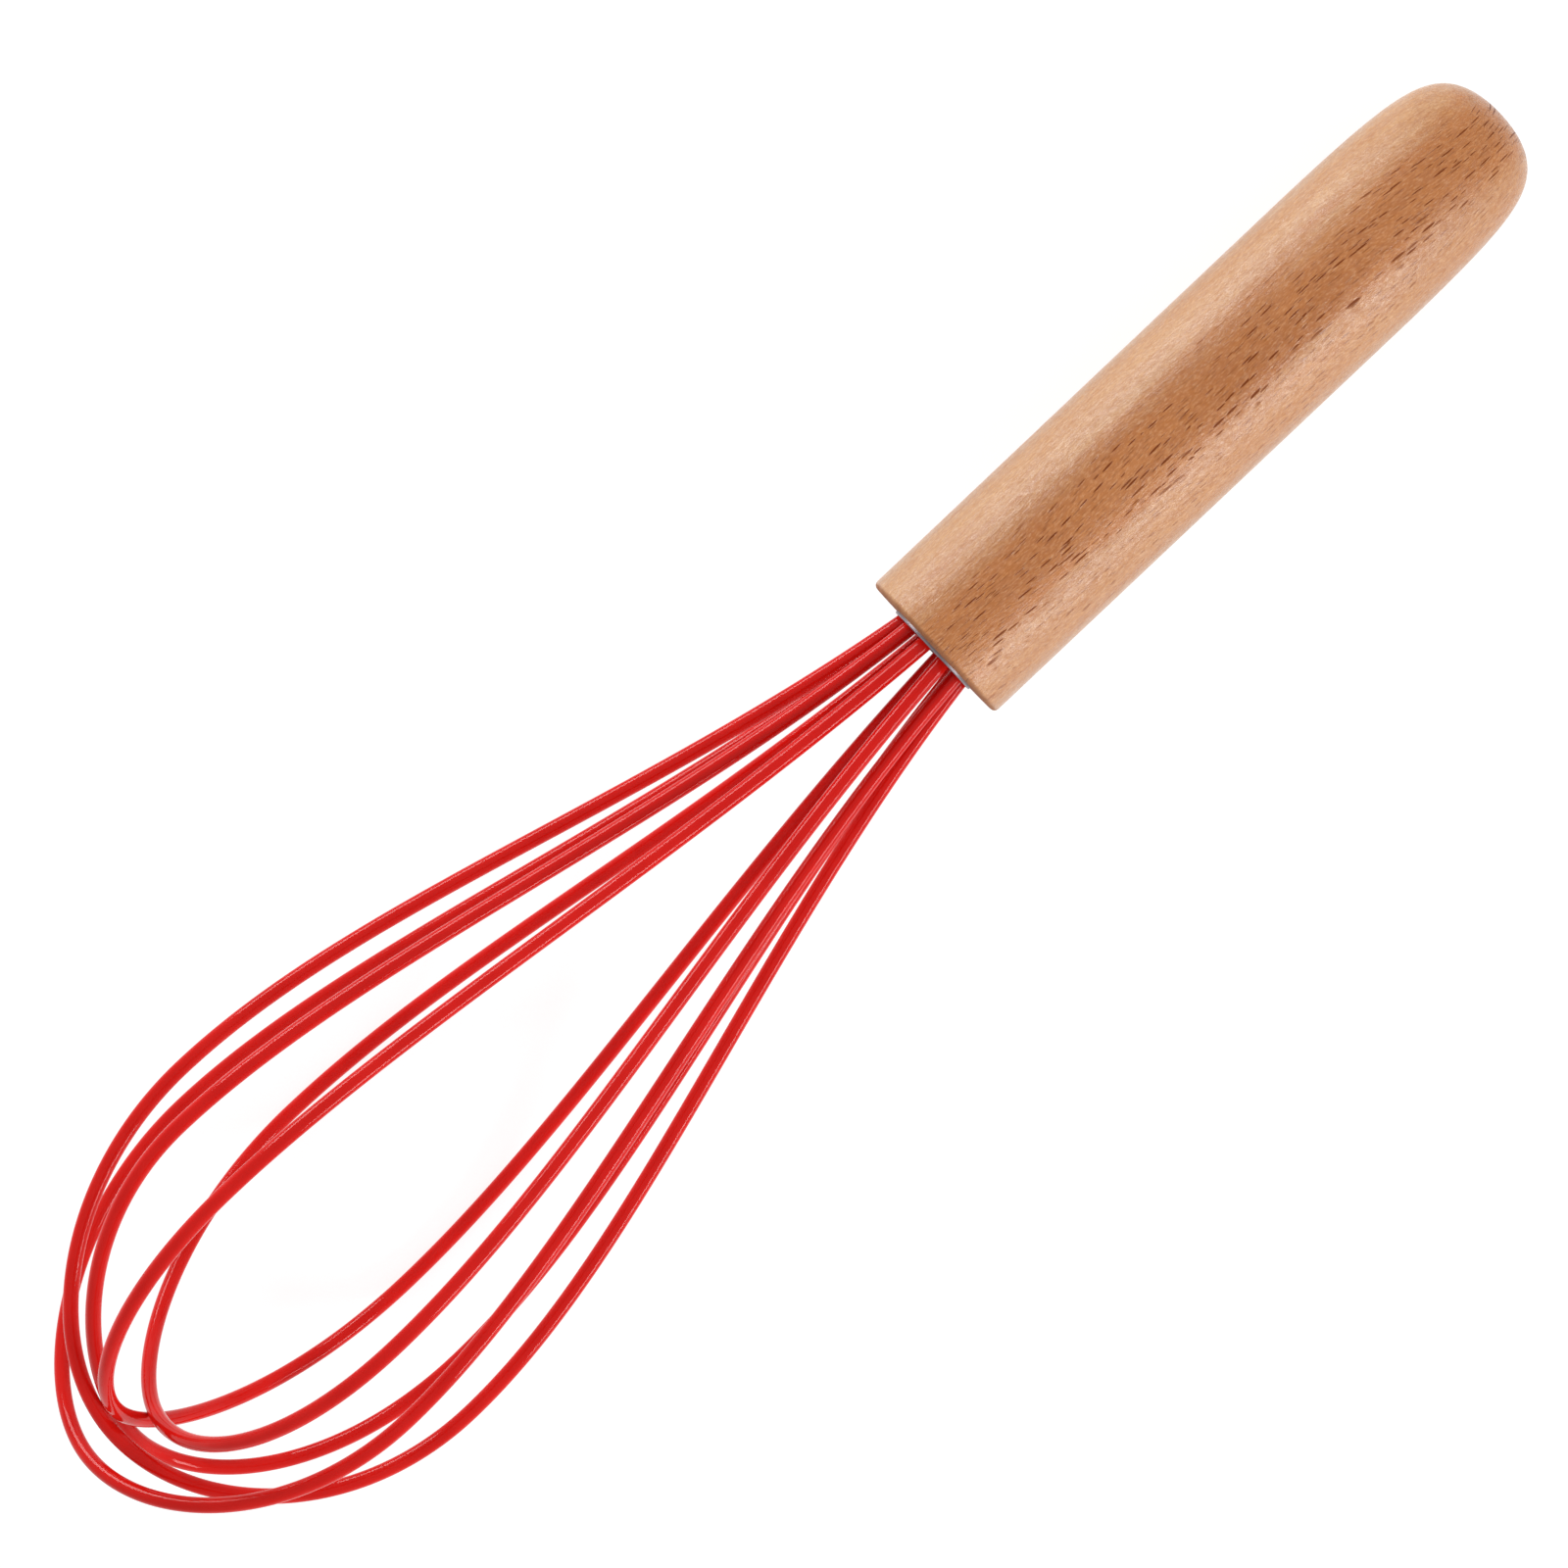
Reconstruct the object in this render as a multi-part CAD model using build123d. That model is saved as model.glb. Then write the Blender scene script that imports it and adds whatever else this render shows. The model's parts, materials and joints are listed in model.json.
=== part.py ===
from build123d import *
from dataclasses import dataclass
import math
import os

# Balloon whisk, in millimetres: a turned beech handle, a stainless ferrule glued into it, and a balloon of
# five closed wire loops. Each loop is a stainless spring wire inside a red silicone sleeve. The loops' bare
# ends pass through a wire guide and are potted in resin inside the ferrule.
#
# The pieces are made about the whisk's own axis: X runs along it towards the handle's domed end, with X = 0
# at the handle's front face, and the balloon is at negative X. At the end they are laid on a table, which
# gives the part's frame: Z is up, the table is Z = 0, and the origin is under the middle of the whisk.

# Handle
HANDLE_LENGTH = 104.3
BARREL_RADIUS = 11.9
BARREL_END = 75.0           # where the barrel begins to close into the dome
FRONT_EDGE_RADIUS = 0.8
BORE_RADIUS = 7.35
BORE_DEPTH = 36.0
DRILL_POINT_ANGLE = 118.0   # included angle of the cone at the bore's bottom

# Ferrule, a drawn stainless cup with its mouth at the handle's front face
FERRULE_RADIUS = 7.2
FERRULE_WALL = 0.4
FERRULE_PROUD = 0.4         # how far its rim stands out of the wood
FERRULE_LENGTH = 35.0
GLUE_CLEARANCE = 0.03       # left between two pieces that are glued or pressed together

# Wire guide, a stepped plug with one hole for each strand
GUIDE_RECESS = 0.3
GUIDE_BOSS_LENGTH = 2.7
GUIDE_BOSS_RADIUS = 6.0

# Strands
SLEEVE_RADIUS = 1.08
SLEEVE_BORE_RADIUS = 0.64
WIRE_RADIUS = 0.6
LEAD_DEPTH = 12.0           # where the strands, spreading from inside the ferrule, are still parallel
TAIL_LENGTH = 20.0          # bare wire behind the sleeves

# Balloon
ROOT_RADIUS = 5.5           # circle of strand centres at the handle's front face
ROOT_TWIST = 4.0            # turn of that circle against the balloon, in degrees
ROOT_REACH = 45.0           # reaches are the lengths of the curves' control arms
NECK_REACH = 32.0
SHOULDER_REACH = 22.0
TIP_REACH = 15.5


@dataclass
class Limb:
    """One side of a loop. It is widest at the station, which is measured forward of the handle."""

    angle: float            # round the axis where it is widest: 0 is +Y and 90 is +Z
    radius: float           # from the axis where it is widest
    station: float
    spread: float           # slope away from the axis at the handle's front face


@dataclass
class Tip:
    """The middle of a loop, where its two limbs meet."""

    reach: float            # forward of the handle
    y: float
    z: float
    turn: float             # angle round the axis of the wire's direction


@dataclass
class Loop:
    """A closed wire loop, its second limb opposite its first."""

    root_angle: float       # the first limb's place on the circle of roots
    first: Limb
    second: Limb
    tip: Tip


LOOPS = [
    Loop(
        0,
        Limb(angle=5.5, radius=28.9, station=113.0, spread=0.151),
        Limb(angle=-1.5, radius=32.1, station=117.0, spread=0.156),
        Tip(reach=153.6, y=-0.7, z=3.5, turn=-9),
    ),
    Loop(
        -36,
        Limb(angle=-33.5, radius=30.9, station=120.0, spread=0.117),
        Limb(angle=-30.5, radius=30.6, station=121.0, spread=0.114),
        Tip(reach=159.0, y=0.6, z=-0.1, turn=-40),
    ),
    Loop(
        36,
        Limb(angle=40, radius=29.6, station=115.5, spread=0.111),
        Limb(angle=32, radius=31.3, station=116.5, spread=0.161),
        Tip(reach=153.8, y=-5.5, z=-6.2, turn=47),
    ),
    Loop(
        72,
        Limb(angle=66.5, radius=29.9, station=115.0, spread=0.117),
        Limb(angle=63, radius=30.6, station=116.0, spread=0.144),
        Tip(reach=150.7, y=-0.7, z=2.9, turn=67),
    ),
    Loop(
        -72,
        Limb(angle=-61, radius=30.7, station=111.0, spread=0.140),
        Limb(angle=-54.5, radius=30.8, station=114.0, spread=0.160),
        Tip(reach=148.2, y=-2.1, z=-0.6, turn=-61),
    ),
]


def across(angle, length=1.0):
    """A vector square to the whisk's axis: 0 degrees is +Y and 90 degrees is +Z."""
    turn = math.radians(angle)
    return Vector(0, length * math.cos(turn), length * math.sin(turn))


def along(length):
    """A vector along the whisk's axis, towards the handle's dome."""
    return Vector(length, 0, 0)


def lead_in(exit_point, inward):
    """The curve from a strand's exit at the front face back to where it is parallel to the axis."""
    bend = exit_point + inward * (LEAD_DEPTH / 2)
    return Bezier(exit_point, bend, bend + along(LEAD_DEPTH / 2))


def root_points(loop):
    """Both exits of a loop at the front face, each with its direction into the handle."""
    first = across(loop.root_angle + ROOT_TWIST, ROOT_RADIUS)
    first_inward = along(1) - across(loop.first.angle, loop.first.spread)
    second_inward = along(1) + across(loop.second.angle, loop.second.spread)
    return (first, first_inward), (-first, second_inward)


def balloon_edges(loop):
    """The four curves of a loop in front of the handle: neck, shoulder, shoulder, neck."""
    (first_root, first_inward), (second_root, second_inward) = root_points(loop)
    first_side = across(loop.first.angle, loop.first.radius) - along(loop.first.station)
    second_side = -across(loop.second.angle, loop.second.radius) - along(loop.second.station)
    tip = Vector(-loop.tip.reach, loop.tip.y, loop.tip.z)
    tip_arm = across(loop.tip.turn, TIP_REACH)
    return [
        Bezier(first_root, first_root - first_inward * ROOT_REACH, first_side + along(NECK_REACH), first_side),
        Bezier(first_side, first_side - along(SHOULDER_REACH), tip + tip_arm, tip),
        Bezier(tip, tip - tip_arm, second_side - along(SHOULDER_REACH), second_side),
        Bezier(second_side, second_side + along(NECK_REACH), second_root - second_inward * ROOT_REACH, second_root),
    ]


def strand_path(loop, tail=0.0):
    """The centre line of a loop from one hidden end to the other, with a straight tail at each end."""
    edges = balloon_edges(loop)
    edges += [lead_in(point, inward) for point, inward in root_points(loop)]
    if tail:
        ends = [edge @ 1 for edge in edges[-2:]]
        edges += [Line(end, end + along(tail)) for end in ends]
    return Wire(edges)


def swept(path, section):
    return sweep(Plane(origin=path @ 0, z_dir=path % 0) * section, path=path)


def turned(*corners):
    """A solid turned about the whisk's axis from a polygon of (x, radius) corners."""
    return revolve(make_face(Polyline(*corners, close=True)), axis=Axis.X)


def drill_cone(radius):
    return radius / math.tan(math.radians(DRILL_POINT_ANGLE / 2))


def dome_curve():
    """The handle's closing curve, from the barrel to the middle of the dome."""
    return Bezier(
        (BARREL_END, BARREL_RADIUS),
        (BARREL_END + 13, BARREL_RADIUS),
        (HANDLE_LENGTH - 5.8, BARREL_RADIUS - 0.7),
        (HANDLE_LENGTH, BARREL_RADIUS - 0.5),
        (HANDLE_LENGTH, 0),
    )


def make_handle():
    corner = (FRONT_EDGE_RADIUS, BARREL_RADIUS)
    outline = [
        Line((0, 0), (0, BARREL_RADIUS - FRONT_EDGE_RADIUS)),
        RadiusArc((0, BARREL_RADIUS - FRONT_EDGE_RADIUS), corner, FRONT_EDGE_RADIUS),
        Line(corner, (BARREL_END, BARREL_RADIUS)),
        dome_curve(),
        Line((HANDLE_LENGTH, 0), (0, 0)),
    ]
    bore = turned(
        (-1, 0),
        (-1, BORE_RADIUS),
        (BORE_DEPTH, BORE_RADIUS),
        (BORE_DEPTH + drill_cone(BORE_RADIUS), 0),
    )
    return revolve(make_face(outline), axis=Axis.X) - bore


def make_ferrule():
    inner = FERRULE_RADIUS - FERRULE_WALL
    end = FERRULE_LENGTH - FERRULE_PROUD
    cup = turned((-FERRULE_PROUD, 0), (-FERRULE_PROUD, FERRULE_RADIUS), (end, FERRULE_RADIUS), (end, 0))
    rim = cup.edges().group_by(Axis.X)[0]
    hollow = turned((-1, 0), (-1, inner), (end - FERRULE_WALL, inner), (end - FERRULE_WALL, 0))
    return fillet(rim, FERRULE_WALL / 2) - hollow


def make_glue():
    """The adhesive between the bore and the ferrule, with the drill cone's share of it."""
    inner = FERRULE_RADIUS + GLUE_CLEARANCE
    outer = BORE_RADIUS - GLUE_CLEARANCE
    behind = FERRULE_LENGTH - FERRULE_PROUD + GLUE_CLEARANCE
    bottom = BORE_DEPTH - GLUE_CLEARANCE
    return turned(
        (1, inner),
        (1, outer),
        (bottom, outer),
        (bottom + drill_cone(outer), 0),
        (behind, 0),
        (behind, inner),
    )


def make_guide():
    """The stepped plug in the ferrule's mouth; its holes follow the strands as they spread."""
    radius = FERRULE_RADIUS - FERRULE_WALL - GLUE_CLEARANCE
    step = GUIDE_RECESS + GUIDE_BOSS_LENGTH
    guide = turned(
        (GUIDE_RECESS, 0),
        (GUIDE_RECESS, GUIDE_BOSS_RADIUS),
        (step, GUIDE_BOSS_RADIUS),
        (step, radius),
        (LEAD_DEPTH, radius),
        (LEAD_DEPTH, 0),
    )
    hole = Circle(SLEEVE_RADIUS + GLUE_CLEARANCE)
    for loop in LOOPS:
        for point, inward in root_points(loop):
            guide -= swept(Wire([Line(point - inward, point), lead_in(point, inward)]), hole)
    return guide


def make_resin():
    """The potting behind the guide, cast round the bare ends of the wires."""
    radius = FERRULE_RADIUS - FERRULE_WALL - GLUE_CLEARANCE
    front = LEAD_DEPTH + GLUE_CLEARANCE
    back = FERRULE_LENGTH - FERRULE_PROUD - FERRULE_WALL - GLUE_CLEARANCE
    resin = turned((front, 0), (front, radius), (back, radius), (back, 0))
    for loop in LOOPS:
        for point, inward in root_points(loop):
            end = lead_in(point, inward) @ 1
            hole = Cylinder(WIRE_RADIUS + GLUE_CLEARANCE, TAIL_LENGTH, align=(Align.CENTER, Align.CENTER, Align.MIN))
            resin -= Pos(end) * Rot(0, 90, 0) * hole
    return resin


def make_pieces():
    pieces = {
        "handle_body": make_handle(),
        "steel_ferrule": make_ferrule(),
        "bore_adhesive": make_glue(),
        "wire_guide": make_guide(),
        "potting_resin": make_resin(),
    }
    for number, loop in enumerate(LOOPS, start=1):
        pieces[f"core_wire_{number}"] = swept(strand_path(loop, TAIL_LENGTH), Circle(WIRE_RADIUS))
        ring = Circle(SLEEVE_RADIUS) - Circle(SLEEVE_BORE_RADIUS)
        pieces[f"silicone_sleeve_{number}"] = swept(strand_path(loop), ring)
    return pieces


def lowest(points, tilt):
    """The least height of some points once the whisk has been tilted, dome down, in degrees."""
    turn = math.radians(tilt)
    return min(point.Z * math.cos(turn) - point.X * math.sin(turn) for point in points)


def resting_tilt():
    """The tilt at which the dome's shoulder and the lowest strand stand equally high."""
    steps = [step / 400 for step in range(401)]
    strands = [edge @ step for loop in LOOPS for edge in balloon_edges(loop) for step in steps]
    dome = [Vector(point.X, 0, -point.Y) for point in (dome_curve() @ step for step in steps)]
    low, high = 0.0, 20.0
    while high - low > 1e-5:
        tilt = (low + high) / 2
        if lowest(strands, tilt) - SLEEVE_RADIUS < lowest(dome, tilt):
            low = tilt
        else:
            high = tilt
    return tilt


def laid_on_table(pieces):
    """The same pieces turned and moved to rest on Z = 0, centred on the origin."""
    tilt = Rot(0, resting_tilt(), 0)
    tilted = {name: tilt * piece for name, piece in pieces.items()}
    box = Compound([*tilted.values()]).bounding_box()
    centre = box.center()
    move = Pos(-centre.X, -centre.Y, -box.min.Z)
    return {name: move * piece for name, piece in tilted.items()}, move * tilt


os.makedirs("parts", exist_ok=True)
PIECES, PLACE = laid_on_table(make_pieces())
for name, piece in PIECES.items():
    export_step(piece, f"parts/{name}.step")
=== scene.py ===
import json
import math

import bmesh
import bpy
from mathutils import Matrix, Vector


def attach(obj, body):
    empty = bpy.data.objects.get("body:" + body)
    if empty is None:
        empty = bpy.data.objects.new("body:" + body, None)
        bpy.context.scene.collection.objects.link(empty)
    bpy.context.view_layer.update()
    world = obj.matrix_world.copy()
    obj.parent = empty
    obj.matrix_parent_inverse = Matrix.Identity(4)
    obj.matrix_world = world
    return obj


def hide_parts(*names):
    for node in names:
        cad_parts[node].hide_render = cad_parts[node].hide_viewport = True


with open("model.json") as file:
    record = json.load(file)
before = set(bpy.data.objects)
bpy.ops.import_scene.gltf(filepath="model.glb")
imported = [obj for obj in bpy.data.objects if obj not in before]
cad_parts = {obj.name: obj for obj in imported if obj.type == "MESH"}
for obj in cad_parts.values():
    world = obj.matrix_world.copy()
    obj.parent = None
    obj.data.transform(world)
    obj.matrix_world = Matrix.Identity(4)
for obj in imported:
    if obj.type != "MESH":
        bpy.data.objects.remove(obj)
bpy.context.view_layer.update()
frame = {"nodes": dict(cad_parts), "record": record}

MM = 0.001

# The whisk is made in its own frame, in millimetres, and then laid in the row frame. In its own frame X runs
# along the handle towards the dome, from the handle's front face, and the balloon is at negative X.

# ---- Sizes, repeated from the CAD design; angles are in degrees ------------------------------------------
SLEEVE_RADIUS = 1.08
SLEEVE_BORE_RADIUS = 0.64
LEAD_DEPTH = 12.0
ROOT_RADIUS = 5.5
ROOT_TWIST = 4.0
ROOT_REACH = 45.0           # reaches are the lengths of the curves' control arms
NECK_REACH = 32.0
SHOULDER_REACH = 22.0
TIP_REACH = 15.5

HANDLE_LENGTH = 104.3
BARREL_RADIUS = 11.9
BARREL_END = 75.0           # where the barrel begins to close into the dome
FRONT_EDGE_RADIUS = 0.8
BORE_RADIUS = 7.35
BORE_DEPTH = 36.0
BORE_CHAMFER = 0.15
DRILL_POINT_ANGLE = 118.0
DOME_START_ARM = 13.0       # this and the next three place the corners that pull the dome's curve
DOME_SHOULDER_BACK = 5.8
DOME_SHOULDER_DROP = 0.7
DOME_CROWN_DROP = 0.5

# ---- Mesh fineness: sides round a piece, and steps along a curve -----------------------------------------
SLEEVE_SIDES = 28
NECK_STEPS = 80
SHOULDER_STEPS = 56
LEAD_STEPS = 12
HANDLE_SIDES = 160
EDGE_STEPS = 8
BARREL_STEPS = 30
DOME_STEPS = 48
ON_AXIS = 1e-6              # a lathed point with a smaller radius lies on the axis

# ---- Wood: the heart of the tree lies far below the handle -----------------------------------------------
HEART_DEPTH = 45.0
HEART_SIDE = 6.0
RING_WANDER = 9.0
RING_PITCH = 2.6            # radians for each millimetre away from the heart
GRAIN_SWAY = 9.0

# ---- Colours, linear -------------------------------------------------------------------------------------
RED_DEEP = (0.555, 0.0065, 0.0040)
RED_BRIGHT = (0.625, 0.0095, 0.0062)

WOOD_DEEP = (0.455, 0.158, 0.040)
WOOD_PALE = (0.570, 0.220, 0.066)
# The two flank colours are painted light: the handle is paler on the sides that face the two softboxes.
LEFT_FLANK_PAINTED_LIGHT = (0.560, 0.322, 0.152)
RIGHT_FLANK_PAINTED_LIGHT = (0.520, 0.295, 0.148)
# Painted shade: the colour that darkens the handle's far left and right edges.
WOOD_SIDES_PAINTED_SHADE = (0.390, 0.230, 0.125)
STREAK = (0.36, 0.115, 0.030)
LATE_RING = (0.38, 0.130, 0.040)
FIBRE = (0.33, 0.105, 0.030)
GRAIN_DARK = (0.35, 0.120, 0.040)
GRAIN_LIGHT = (0.80, 0.480, 0.260)
FINE_FLECK = (0.240, 0.070, 0.014)
BOLD_FLECK = (0.175, 0.034, 0.002)
END_GRAIN = (0.290, 0.130, 0.070)
END_GRAIN_DARK = (0.200, 0.080, 0.040)

WIRE_STEEL = (0.60, 0.60, 0.61)
# Painted shade and painted reflection: the ferrule's steel is made darker than bare steel and faintly pink.
FERRULE_STEEL_PAINTED_SHADE = (0.30, 0.27, 0.29)
GUIDE_NYLON = (0.10, 0.09, 0.09)
RESIN = (0.55, 0.42, 0.20)
ADHESIVE = (0.60, 0.50, 0.30)

# ---- Balloon ---------------------------------------------------------------------------------------------
# Each loop: the angle of its root, two limbs (angle, radius, station, spread), its tip (reach, y, z, turn).
# Angles go round the axis: 0 is +Y and 90 is +Z, but the second limb's are counted from the opposite side.
# A limb is widest at its station, forward of the handle, and its spread is its slope away from the axis at
# the handle's front face.
LOOPS = [
    (0, (5.5, 28.9, 113.0, 0.151), (-1.5, 32.1, 117.0, 0.156), (153.6, -0.7, 3.5, -9)),
    (-36, (-33.5, 30.9, 120.0, 0.117), (-30.5, 30.6, 121.0, 0.114), (159.0, 0.6, -0.1, -40)),
    (36, (40, 29.6, 115.5, 0.111), (32, 31.3, 116.5, 0.161), (153.8, -5.5, -6.2, 47)),
    (72, (66.5, 29.9, 115.0, 0.117), (63, 30.6, 116.0, 0.144), (150.7, -0.7, 2.9, 67)),
    (-72, (-61, 30.7, 111.0, 0.140), (-54.5, 30.8, 114.0, 0.160), (148.2, -2.1, -0.6, -61)),
]


# ---- The whisk's own frame -------------------------------------------------------------------------------
def tool_frame():
    """From the record's mount: its point is the middle of the straight barrel, its axis the whisk's."""
    mount = next(m for m in frame["record"]["mounts"] if m["name"] == "handle_barrel")
    along = Vector(mount["axis"]).normalized()
    sideways = Vector((0, 1, 0))
    up = along.cross(sideways)
    middle = (FRONT_EDGE_RADIUS + BARREL_END) / 2 * MM
    origin = Vector(mount["pos_m"]) - along * middle
    turn = Matrix((along, sideways, up)).transposed().to_4x4()
    return Matrix.Translation(origin) @ turn


TOOL = tool_frame()


def across(angle, length=1.0):
    turn = math.radians(angle)
    return Vector((0, length * math.cos(turn), length * math.sin(turn)))


def along(length):
    return Vector((length, 0, 0))


# ---- Mesh helpers ----------------------------------------------------------------------------------------
def new_object(name, bm):
    """A smooth object from a bmesh, which it uses up."""
    mesh = bpy.data.meshes.new(name)
    bm.normal_update()
    bm.to_mesh(mesh)
    bm.free()
    for face in mesh.polygons:
        face.use_smooth = True
    piece = bpy.data.objects.new(name, mesh)
    bpy.context.scene.collection.objects.link(piece)
    return piece


def place(piece, body="root"):
    """Puts a piece made in the whisk's own frame, in millimetres, into the row frame."""
    piece.data.transform(TOOL @ Matrix.Scale(MM, 4))
    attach(piece, body)
    return piece


def bezier(points, count):
    """Points along a cubic Bezier, without its last one."""
    a, b, c, d = points
    for step in range(count):
        t = step / count
        s = 1 - t
        yield a * s ** 3 + b * 3 * s * s * t + c * 3 * s * t * t + d * t ** 3


def loop_line(root_angle, first, second, tip):
    """The centre line of one loop, from its hidden end in the ferrule to the other."""
    first_angle, first_radius, first_station, first_spread = first
    second_angle, second_radius, second_station, second_spread = second
    tip_reach, tip_y, tip_z, tip_turn = tip
    root = across(root_angle + ROOT_TWIST, ROOT_RADIUS)
    first_in = along(1) - across(first_angle, first_spread)
    second_in = along(1) + across(second_angle, second_spread)
    first_side = across(first_angle, first_radius) - along(first_station)
    second_side = -across(second_angle, second_radius) - along(second_station)
    tip_point = Vector((-tip_reach, tip_y, tip_z))
    tip_arm = across(tip_turn, TIP_REACH)
    half = LEAD_DEPTH / 2
    first_bend = root + first_in * half
    second_bend = -root + second_in * half
    first_end = first_bend + along(half)
    second_end = second_bend + along(half)
    pieces = [
        (first_end, first_bend + along(half / 3), root + first_in * half * 2 / 3, root),
        (root, root - first_in * ROOT_REACH, first_side + along(NECK_REACH), first_side),
        (first_side, first_side - along(SHOULDER_REACH), tip_point + tip_arm, tip_point),
        (tip_point, tip_point - tip_arm, second_side - along(SHOULDER_REACH), second_side),
        (second_side, second_side + along(NECK_REACH), -root - second_in * ROOT_REACH, -root),
        (-root, -root + second_in * half * 2 / 3, second_bend + along(half / 3), second_end),
    ]
    counts = (LEAD_STEPS, NECK_STEPS, SHOULDER_STEPS, SHOULDER_STEPS, NECK_STEPS, LEAD_STEPS)
    line = [point for piece, count in zip(pieces, counts) for point in bezier(piece, count)]
    return line + [second_end]


def tube(line, outer, inner, sides):
    """A hollow tube along a line, closed by a ring at each end."""
    bm = bmesh.new()
    count = len(line)
    normal = Vector((0, 0, 1))
    rings = []
    for i, point in enumerate(line):
        direction = (line[min(i + 1, count - 1)] - line[max(i - 1, 0)]).normalized()
        normal = (normal - direction * normal.dot(direction)).normalized()
        binormal = direction.cross(normal)
        spokes = []
        for side in range(sides):
            turn = 2 * math.pi * side / sides
            spokes.append(normal * math.cos(turn) + binormal * math.sin(turn))
        walls = [[bm.verts.new(point + spoke * radius) for spoke in spokes] for radius in (outer, inner)]
        rings.append(walls)
    for ring, following in zip(rings, rings[1:]):
        for side in range(sides):
            after = (side + 1) % sides
            bm.faces.new((ring[0][side], ring[0][after], following[0][after], following[0][side]))
            bm.faces.new((ring[1][after], ring[1][side], following[1][side], following[1][after]))
    for side in range(sides):
        after = (side + 1) % sides
        start, end = rings[0], rings[-1]
        bm.faces.new((start[0][after], start[0][side], start[1][side], start[1][after]))
        bm.faces.new((end[0][side], end[0][after], end[1][after], end[1][side]))
    bmesh.ops.recalc_face_normals(bm, faces=bm.faces)
    return bm


def lathe(profile, sides):
    """A solid of revolution about X from an open profile of (x, radius) that starts and ends on the axis."""
    bm = bmesh.new()
    rings = []
    for x, radius in profile:
        if radius < ON_AXIS:
            rings.append([bm.verts.new((x, 0, 0))])
            continue
        turns = [2 * math.pi * side / sides for side in range(sides)]
        rings.append([bm.verts.new((x, radius * math.cos(t), radius * math.sin(t))) for t in turns])
    for a, b in zip(rings, rings[1:]):
        for side in range(sides):
            after = (side + 1) % sides
            if len(a) == 1:
                bm.faces.new((a[0], b[side], b[after]))
            elif len(b) == 1:
                bm.faces.new((a[side], b[0], a[after]))
            else:
                bm.faces.new((a[side], b[side], b[after], a[after]))
    bmesh.ops.recalc_face_normals(bm, faces=bm.faces)
    return bm


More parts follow.
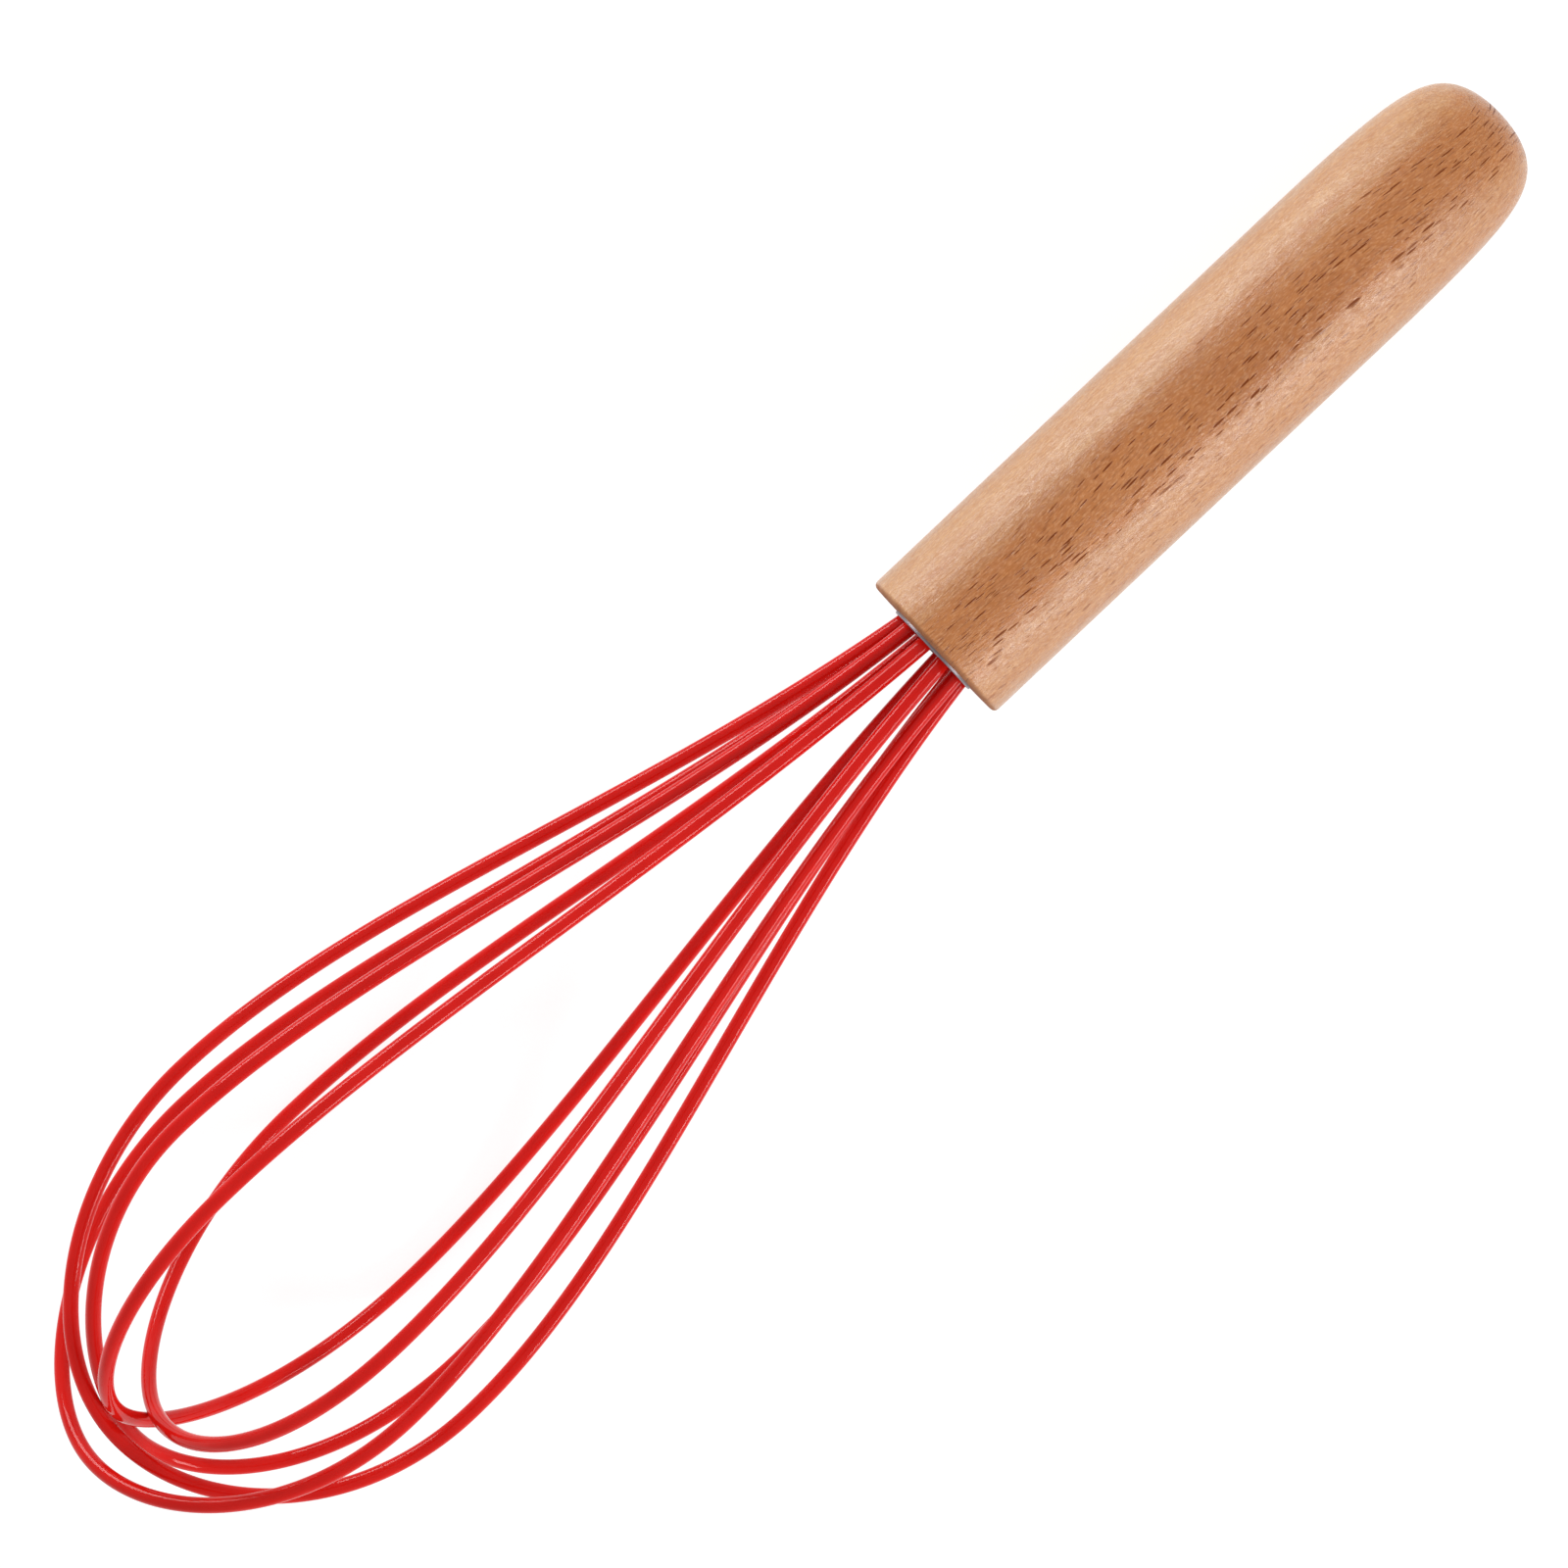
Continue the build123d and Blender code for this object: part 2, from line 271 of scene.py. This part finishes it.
# ---- Node helper -----------------------------------------------------------------------------------------
class Nodes:
    """A short way to build a material: most calls add a node or a few and return the output."""

    def __init__(self, name):
        self.material = bpy.data.materials.new(name)
        self.material.use_nodes = True
        self.tree = self.material.node_tree
        self.shader = self.tree.nodes["Principled BSDF"]

    def wire(self, source, socket):
        """The source is a value or another node's output."""
        if hasattr(source, "is_output"):
            self.tree.links.new(source, socket)
        else:
            socket.default_value = source

    def wire_colour(self, source, socket):
        self.wire(source if hasattr(source, "is_output") else (*source, 1), socket)

    def node(self, kind, inputs, **settings):
        node = self.tree.nodes.new(kind)
        for key, value in settings.items():
            setattr(node, key, value)
        for key, source in inputs.items():
            self.wire(source, node.inputs[key])
        return node

    def set(self, **values):
        """Sets the shader's own inputs."""
        for key, value in values.items():
            self.wire(value, self.shader.inputs[key.replace("_", " ")])

    # Numbers

    def maths(self, operation, *values):
        return self.node("ShaderNodeMath", dict(enumerate(values)), operation=operation).outputs["Value"]

    def share(self, value, amount):
        return self.maths("MULTIPLY", value, amount)

    def square(self, value):
        return self.maths("MULTIPLY", value, value)

    def swing(self, noise, width):
        """A noise turned into a shift to either side, width being the most that it could span."""
        return self.share(self.maths("SUBTRACT", noise, 0.5), width)

    def fade(self, value, start, end):
        """0 up to start, 1 from end on, smooth between; start may be the larger one."""
        inputs = {"Value": value, "From Min": start, "From Max": end}
        return self.node("ShaderNodeMapRange", inputs, interpolation_type="SMOOTHSTEP").outputs["Result"]

    def band(self, value, rise, fall):
        """1 between the two slopes, 0 outside them."""
        return self.maths("MULTIPLY", self.fade(value, *rise), self.fade(value, fall[1], fall[0]))

    # Vectors

    def parts(self, vector):
        node = self.node("ShaderNodeSeparateXYZ", {"Vector": vector})
        return node.outputs["X"], node.outputs["Y"], node.outputs["Z"]

    def shift(self, vector, y):
        """The vector with a value added to its Y."""
        x, old_y, z = self.parts(vector)
        inputs = {"X": x, "Y": self.maths("ADD", old_y, y), "Z": z}
        return self.node("ShaderNodeCombineXYZ", inputs).outputs["Vector"]

    def stretch(self, vector, scale, offset=(0, 0, 0), turn=(0, 0, 0)):
        """The vector scaled, then turned, then shifted."""
        inputs = {"Vector": vector, "Scale": scale, "Rotation": turn, "Location": offset}
        return self.node("ShaderNodeMapping", inputs).outputs["Vector"]

    def position(self):
        """The place in the whisk's own frame, in millimetres."""
        here = self.node("ShaderNodeTexCoord", {}).outputs["Object"]
        back = TOOL.inverted()
        return self.stretch(here, (1 / MM,) * 3, back.translation / MM, back.to_euler())

    def vector_maths(self, operation, *vectors):
        return self.node("ShaderNodeVectorMath", dict(enumerate(vectors)), operation=operation)

    # Patterns

    def noise(self, vector, scale, detail, roughness=0.5):
        inputs = {"Vector": vector, "Scale": scale, "Detail": detail, "Roughness": roughness}
        return self.node("ShaderNodeTexNoise", inputs).outputs["Fac"]

    def long_noise(self, vector, scale, detail, roughness=0.5, offset=(0, 0, 0)):
        """A noise with a scale for each axis; the offset picks another part of it."""
        return self.noise(self.stretch(vector, scale, offset), 1.0, detail, roughness)

    def flecks(self, vector, cell, half_size, offset):
        """One flat grain in each cell of a 3-D pattern, in millimetres: 1 at its middle, 0 outside it.

        A grain is half to 1.2 times its size, and fainter where its cell's chance value is low.
        """
        scaled = self.stretch(vector, tuple(1 / side for side in cell), offset)
        cells = self.node("ShaderNodeTexVoronoi", {"Vector": scaled, "Scale": 1.0})
        chance = self.node("ShaderNodeSeparateColor", {"Color": cells.outputs["Color"]})
        size = self.maths("MULTIPLY_ADD", chance.outputs["Red"], 0.7, 0.5)
        gap = self.vector_maths("SUBTRACT", scaled, cells.outputs["Position"]).outputs["Vector"]
        cell_in_grains = tuple(side / half for side, half in zip(cell, half_size))
        shape = self.vector_maths("MULTIPLY", gap, cell_in_grains).outputs["Vector"]
        reach = self.vector_maths("LENGTH", shape).outputs["Value"]
        inside = self.fade(self.maths("DIVIDE", reach, size), 1.0, 0.6)
        return self.maths("MULTIPLY", inside, self.fade(chance.outputs["Green"], 0.0, 0.6))

    # Colours and relief

    def ramp(self, value, low, high):
        """An even change between two stops, each a position with a colour or a grey."""
        node = self.node("ShaderNodeValToRGB", {"Fac": value})
        for element, (position, colour) in zip(node.color_ramp.elements, (low, high)):
            element.position = position
            element.color = (*colour, 1) if hasattr(colour, "__len__") else (colour, colour, colour, 1)
        return node.outputs["Color"]

    def mix(self, factor, a, b):
        """Colour a where the factor is 0 and b where it is 1."""
        node = self.node("ShaderNodeMix", {"Factor": factor}, data_type="RGBA")
        # The colour sockets share their names with others, so they go by number
        self.wire_colour(a, node.inputs[6])
        self.wire_colour(b, node.inputs[7])
        return node.outputs[2]

    def bump(self, height, strength, distance):
        inputs = {"Strength": strength, "Distance": distance, "Height": height}
        return self.node("ShaderNodeBump", inputs).outputs["Normal"]


def darkened(colour, share):
    return tuple(part * share for part in colour)


# ---- Silicone --------------------------------------------------------------------------------------------
def red_silicone():
    """Glossy extruded silicone: a deep red with faint clouds, an uneven gloss and faint ripples along it."""
    n = Nodes("red_silicone")
    where = n.position()
    clouds = n.noise(where, 0.12, 3.0)
    gloss = n.noise(where, 2.2, 2.0)
    ripples = n.long_noise(where, (0.25, 1.6, 1.6), 2.0)
    n.set(Base_Color=n.ramp(clouds, (0.3, RED_DEEP), (0.7, RED_BRIGHT)), IOR=1.26)
    n.set(Roughness=n.ramp(gloss, (0.3, 0.06), (0.7, 0.10)))
    n.set(Normal=n.bump(ripples, 1.0, 0.005 * MM))
    return n.material


# ---- Wood ------------------------------------------------------------------------------------------------
def growth_rings(n, where):
    """Waves about the tree's heart, from -1 to 1."""
    _, y, z = n.parts(where)
    below = n.square(n.maths("ADD", z, HEART_DEPTH))
    beside = n.square(n.maths("SUBTRACT", y, HEART_SIDE))
    from_heart = n.maths("SQRT", n.maths("ADD", below, beside))
    wander = n.share(n.long_noise(where, (0.02, 0.12, 0.12), 3.0, offset=(7, 3, 1)), RING_WANDER)
    return n.maths("SINE", n.share(n.maths("ADD", from_heart, wander), RING_PITCH))


def plain_wood(n, where, level):
    """The wood's broad colours: clouds of brown, with painted light on the flanks and painted shade at the
    far left and right edges.
    """
    clouds = n.long_noise(where, (0.03, 0.1, 0.1), 2.0, offset=(2, 5, 9))
    colour = n.ramp(clouds, (0.30, WOOD_DEEP), (0.70, WOOD_PALE))
    # Painted light: paler towards the flanks that face the softboxes.
    colour = n.mix(n.share(n.fade(level, 2.0, 8.5), 0.85), colour, LEFT_FLANK_PAINTED_LIGHT)
    colour = n.mix(n.share(n.fade(level, -2.5, -8.0), 0.65), colour, RIGHT_FLANK_PAINTED_LIGHT)
    _, y, _ = n.parts(where)
    # Painted shade: darker towards the far left and right edges of the handle.
    sides = n.fade(n.maths("ABSOLUTE", y), 10.2, 11.7)
    return n.mix(n.share(sides, 0.55), colour, WOOD_SIDES_PAINTED_SHADE)


def add_grain(n, bent, colour, streaks, rings, fibres):
    """The grain over the broad colours, from coarse to fine."""
    grain = n.long_noise(bent, (1.3, 4.4, 4.4), 2.0, 0.7, (1, 6, 3))
    colour = n.mix(n.ramp(streaks, (0.38, 0.0), (0.70, 0.40)), colour, STREAK)
    colour = n.mix(n.ramp(rings, (0.0, 0.0), (1.0, 0.14)), colour, LATE_RING)
    colour = n.mix(n.ramp(fibres, (0.42, 0.0), (0.72, 0.40)), colour, FIBRE)
    colour = n.mix(n.ramp(grain, (0.45, 0.0), (0.70, 0.34)), colour, GRAIN_DARK)
    return n.mix(n.ramp(grain, (0.30, 0.30), (0.50, 0.0)), colour, GRAIN_LIGHT)


def ray_flecks(n, bent, level):
    """Bold flecks along the middle of the flat-sawn face, and fine ones over more of it."""
    bold = n.flecks(bent, cell=(2.9, 0.80, 30.0), half_size=(1.35, 0.140, 24.0), offset=(0.3, 0.1, 0.5))
    fine = n.flecks(bent, cell=(1.9, 0.50, 20.0), half_size=(0.85, 0.085, 15.0), offset=(4.2, 7.7, 1.1))
    bold = n.maths("MULTIPLY", bold, n.band(level, (-6.8, -4.6), (2.5, 5.5)))
    fine = n.maths("MULTIPLY", fine, n.band(level, (-11.8, -10.5), (2.5, 6.0)))
    return bold, fine


def add_varnish(n, bent, bare, relief):
    """A thin clear coat, mottled over the pores and missing on the bare places."""
    pores = n.long_noise(bent, (0.75, 1.9, 1.9), 3.0, 0.7, (3, 8, 2))
    coat = n.maths("MULTIPLY", n.ramp(pores, (0.34, 0.35), (0.60, 1.0)), n.maths("SUBTRACT", 1.0, bare))
    n.set(Coat_Weight=coat, Coat_Roughness=0.25)
    n.set(Coat_Normal=n.bump(n.maths("ADD", relief, pores), 1.0, 0.1 * MM))


def beech():
    """Varnished beech, its grain along X; the front face is bare, darker end grain."""
    n = Nodes("varnished_beech")
    where = n.position()
    x, y, _ = n.parts(where)
    bent = n.shift(where, y=n.swing(n.long_noise(where, (0.018, 0.05, 0.05), 1.0), GRAIN_SWAY))
    drift = n.long_noise(where, (0.05, 0.35, 0.35), 3.0, 0.6, (5, 1, 4))
    level = n.maths("ADD", y, n.swing(drift, GRAIN_SWAY))   # the place across the handle, made wavy

    rings = growth_rings(n, where)
    streaks = n.long_noise(bent, (0.035, 0.7, 0.7), 5.0, 0.65)
    fibres = n.long_noise(bent, (0.25, 3.6, 3.6), 4.0, 0.7)
    bold, fine = ray_flecks(n, bent, level)
    end_grain = n.fade(x, 0.75, 0.25)
    end_colour = n.mix(n.ramp(rings, (0.2, 0.0), (0.9, 0.6)), END_GRAIN, END_GRAIN_DARK)

    colour = add_grain(n, bent, plain_wood(n, where, level), streaks, rings, fibres)
    colour = n.mix(n.share(fine, 0.65), colour, FINE_FLECK)
    colour = n.mix(n.share(bold, 0.95), colour, BOLD_FLECK)
    colour = n.mix(n.share(end_grain, 0.75), colour, end_colour)
    rough = n.maths("MAXIMUM", n.ramp(streaks, (0.3, 0.36), (0.7, 0.46)), n.share(end_grain, 0.7))
    relief = n.maths("SUBTRACT", n.share(fibres, 0.8), n.share(bold, 0.5))
    n.set(Base_Color=colour, Roughness=rough, IOR=1.2, Normal=n.bump(relief, 1.0, 0.05 * MM))
    add_varnish(n, bent, n.maths("MAXIMUM", end_grain, n.share(bold, 0.95)), relief)
    return n.material


# ---- Metal and plastic -----------------------------------------------------------------------------------
def drawn_metal(name, colour, rough):
    """Bright metal with fine lines round it and a faint cloud of wear."""
    n = Nodes(name)
    where = n.position()
    clouds = n.noise(where, 0.5, 3.0)
    lines = n.long_noise(where, (9.0, 0.4, 0.4), 3.0)
    n.set(Base_Color=n.ramp(clouds, (0.35, darkened(colour, 0.86)), (0.65, colour)), Metallic=1.0)
    n.set(Roughness=n.ramp(lines, (0.3, rough * 0.8), (0.7, rough * 1.25)))
    n.set(Normal=n.bump(lines, 0.05, 0.1 * MM))
    return n.material


def cast_plastic(name, colour, rough):
    """Moulded or poured plastic: a slightly uneven colour and gloss, and a fine skin."""
    n = Nodes(name)
    where = n.position()
    clouds = n.noise(where, 0.6, 3.0)
    skin = n.noise(where, 5.0, 3.0)
    n.set(Base_Color=n.ramp(clouds, (0.3, darkened(colour, 0.82)), (0.7, colour)))
    n.set(Roughness=n.ramp(skin, (0.3, rough * 0.85), (0.7, rough * 1.15)))
    n.set(Normal=n.bump(skin, 0.1, 0.1 * MM))
    return n.material


# ---- Pieces ----------------------------------------------------------------------------------------------
def paint(piece, material):
    piece.data.materials.clear()
    piece.data.materials.append(material)


def paint_cad_nodes():
    """Materials for the pieces that keep their CAD shapes."""
    looks = {
        # The ferrule's dark, pinkish steel is painted shade and painted reflection.
        "steel_ferrule": drawn_metal("ferrule_steel_painted_shade", FERRULE_STEEL_PAINTED_SHADE, 0.40),
        "wire_guide": cast_plastic("guide_nylon", GUIDE_NYLON, 0.5),
        "potting_resin": cast_plastic("potting_resin", RESIN, 0.2),
        "bore_adhesive": cast_plastic("bore_adhesive", ADHESIVE, 0.25),
    }
    wire = drawn_metal("spring_wire", WIRE_STEEL, 0.3)
    for number in range(1, len(LOOPS) + 1):
        looks[f"core_wire_{number}"] = wire
    for node, material in looks.items():
        paint(frame["nodes"][node], material)


def make_sleeves():
    silicone = red_silicone()
    for number, loop in enumerate(LOOPS, start=1):
        bm = tube(loop_line(*loop), SLEEVE_RADIUS, SLEEVE_BORE_RADIUS, SLEEVE_SIDES)
        piece = place(new_object(f"strand_{number}", bm))
        paint(piece, silicone)
        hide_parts(f"silicone_sleeve_{number}")


def dome_points():
    """The handle's closing curve, a quartic Bezier from the barrel to the middle of the dome."""
    corners = [
        (BARREL_END, BARREL_RADIUS),
        (BARREL_END + DOME_START_ARM, BARREL_RADIUS),
        (HANDLE_LENGTH - DOME_SHOULDER_BACK, BARREL_RADIUS - DOME_SHOULDER_DROP),
        (HANDLE_LENGTH, BARREL_RADIUS - DOME_CROWN_DROP),
        (HANDLE_LENGTH, 0),
    ]
    weights = (1, 4, 6, 4, 1)
    for step in range(DOME_STEPS + 1):
        t = step / DOME_STEPS
        parts = [w * (1 - t) ** (4 - i) * t ** i for i, w in enumerate(weights)]
        yield tuple(sum(p * corner[axis] for p, corner in zip(parts, corners)) for axis in (0, 1))


def handle_profile():
    """Half of the handle's section, from the bottom of its bore round the front edge to the dome."""
    cone = BORE_RADIUS / math.tan(math.radians(DRILL_POINT_ANGLE / 2))
    profile = [(BORE_DEPTH + cone, 0), (BORE_DEPTH, BORE_RADIUS)]
    profile += [(BORE_CHAMFER, BORE_RADIUS), (0, BORE_RADIUS + BORE_CHAMFER)]
    centre = BARREL_RADIUS - FRONT_EDGE_RADIUS
    for step in range(EDGE_STEPS + 1):
        turn = math.pi / 2 * step / EDGE_STEPS
        x = FRONT_EDGE_RADIUS * (1 - math.cos(turn))
        profile.append((x, centre + FRONT_EDGE_RADIUS * math.sin(turn)))
    profile += [(BARREL_END * step / BARREL_STEPS, BARREL_RADIUS) for step in range(1, BARREL_STEPS)]
    return profile + list(dome_points())


def make_handle():
    piece = place(new_object("turned_handle", lathe(handle_profile(), HANDLE_SIDES)))
    paint(piece, beech())
    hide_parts("handle_body")


# ---- Floor, light and camera: places and sizes in metres -------------------------------------------------
def make_floor():
    """A white acrylic table, lit from below, so that shadows on it stay weak."""
    half = 6.0
    corners = [(-half, -half, 0), (half, -half, 0), (half, half, 0), (-half, half, 0)]
    mesh = bpy.data.meshes.new("floor")
    mesh.from_pydata(corners, [], [(0, 1, 2, 3)])
    floor = bpy.data.objects.new("floor", mesh)
    bpy.context.scene.collection.objects.link(floor)
    n = Nodes("floor")
    n.set(Base_Color=(0.30, 0.30, 0.30, 1), Roughness=0.9, Specular_IOR_Level=0.0)
    n.set(Emission_Color=(1, 1, 1, 1), Emission_Strength=0.80)
    paint(floor, n.material)


def make_world():
    """Even light from all round, a little dimmer overhead than near the horizon."""
    world = bpy.data.worlds.new("studio")
    bpy.context.scene.world = world
    world.use_nodes = True
    tree = world.node_tree
    direction = tree.nodes.new("ShaderNodeTexCoord")
    split = tree.nodes.new("ShaderNodeSeparateXYZ")
    ramp = tree.nodes.new("ShaderNodeValToRGB")
    horizon, overhead = ramp.color_ramp.elements
    horizon.position = 0.0
    horizon.color = (0.8, 0.8, 0.8, 1)
    overhead.position = 0.75
    overhead.color = (0.66, 0.66, 0.66, 1)
    tree.links.new(direction.outputs["Generated"], split.inputs["Vector"])
    tree.links.new(split.outputs["Z"], ramp.inputs["Fac"])
    tree.links.new(ramp.outputs["Color"], tree.nodes["Background"].inputs["Color"])


def aimed(spot, target):
    """A matrix at the spot, facing the target, whose X is as near the whisk's axis as it can be."""
    back = (spot - target).normalized()
    up = back.cross(Vector((1, 0, 0))).normalized()
    turn = Matrix((up.cross(back), up, back)).transposed().to_4x4()
    return TOOL @ Matrix.Translation(spot) @ turn


def softbox(name, spot, length, width, radiance):
    """A rectangular light aimed near the handle's dome, its long side along the whisk."""
    near_dome = Vector((0.10, 0, 0))
    data = bpy.data.lights.new(name, "AREA")
    data.shape = "RECTANGLE"
    data.size = length
    data.size_y = width
    data.energy = radiance * math.pi * length * width
    light = bpy.data.objects.new(name, data)
    bpy.context.scene.collection.objects.link(light)
    light.matrix_world = aimed(Vector(spot), near_dome)
    light.visible_camera = False


def make_lights():
    softbox("softbox_left", spot=(0.08, 0.80, 0.21), length=0.44, width=0.30, radiance=10.0)
    softbox("softbox_right", spot=(0.08, -0.75, 0.31), length=0.44, width=0.24, radiance=11.5)


def make_camera():
    """Over the handle's front end, looking at the middle of the whisk; the handle points up and right."""
    view_centre = Vector((-0.02726, 0.00065, 0))
    spot = Vector((-0.0075, 0.00065, 0.610))
    slope = math.radians(43.392)
    width_at_centre = 0.2122
    data = bpy.data.cameras.new("camera")
    data.sensor_width = 36.0
    data.lens = data.sensor_width * (spot - view_centre).length / width_at_centre
    data.clip_start = 0.01
    camera = bpy.data.objects.new("camera", data)
    bpy.context.scene.collection.objects.link(camera)
    camera.matrix_world = aimed(spot, view_centre) @ Matrix.Rotation(-slope, 4, "Z")
    bpy.context.scene.camera = camera


make_sleeves()
make_handle()
paint_cad_nodes()
make_floor()
make_world()
make_lights()
make_camera()
bpy.context.scene.view_settings.view_transform = "Standard"
